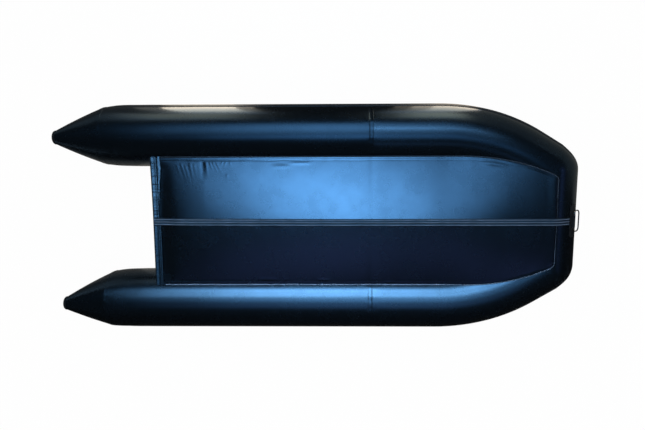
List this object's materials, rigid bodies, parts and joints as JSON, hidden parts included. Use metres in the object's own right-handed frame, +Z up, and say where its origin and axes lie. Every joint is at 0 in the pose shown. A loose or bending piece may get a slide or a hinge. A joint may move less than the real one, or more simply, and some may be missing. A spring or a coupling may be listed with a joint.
{
  "type": "inflatable boat",
  "caption": "Inflatable boat with a transom, turned over keel up: round tubes with stern cones, V bottom, ribbed keel strip, board floor, bench and a bow towing ring.",
  "frame": {"origin": "on the floor, under the middle of the boat's overall length and beam, as it lies turned over", "axes": "+X towards the bow, +Y to starboard, +Z up, which is the keel side as it lies turned over; a half turn about X sets it afloat"},
  "size_m": [3.3, 1.466, 0.3954],
  "materials": {
    "tube_fabric": "glossy coated fabric",
    "bottom_fabric": "glossy coated fabric",
    "seam_tape": "glossy coated fabric",
    "strake_rubber": "satin",
    "moulding": "satin",
    "transom_paint": "painted plywood",
    "plywood": "varnished plywood",
    "aluminium": "anodised",
    "stainless": "polished"
  },
  "bodies": {
    "hull": {"bow_tube": "tube_fabric", "side_tube_starboard": "tube_fabric", "side_tube_port": "tube_fabric", "stern_cone_starboard": "tube_fabric", "stern_cone_port": "tube_fabric", "bottom_panel_starboard": "bottom_fabric", "bottom_panel_port": "bottom_fabric", "sheet_flange": "bottom_fabric", "transom_hem": "bottom_fabric", "chamber_band_starboard": "seam_tape", "chamber_band_port": "seam_tape", "cone_band_starboard": "seam_tape", "cone_band_port": "seam_tape", "rub_strake": "strake_rubber", "keel_strip": "strake_rubber", "bow_patch": "strake_rubber", "bench_rail_starboard": "strake_rubber", "bench_rail_port": "strake_rubber", "transom_channel_starboard": "strake_rubber", "transom_channel_port": "strake_rubber", "cone_cap_starboard": "moulding", "cone_cap_port": "moulding", "valve_starboard": "moulding", "valve_port": "moulding", "valve_bow": "moulding", "oarlock_starboard": "moulding", "oarlock_port": "moulding", "grab_handle_starboard": "moulding", "grab_handle_port": "moulding", "drain_valve": "moulding", "transom_pad_outer": "moulding", "transom_pad_inner": "moulding", "transom_board": "transom_paint", "floor_board_1": "plywood", "floor_board_2": "plywood", "floor_board_3": "plywood", "floor_board_4": "plywood", "bench": "plywood", "floor_joints": "aluminium", "stringer_starboard": "aluminium", "stringer_port": "aluminium"},
    "ring": {"tow_ring": "stainless"}
  },
  "joints": [
    {"name": "tow_ring_swing", "type": "hinge", "parent": "hull", "child": "ring", "pos_m": [1.58801, 0, 0.34165], "axis": [0, -1, 0], "range_deg": [0, 150]}
  ]
}
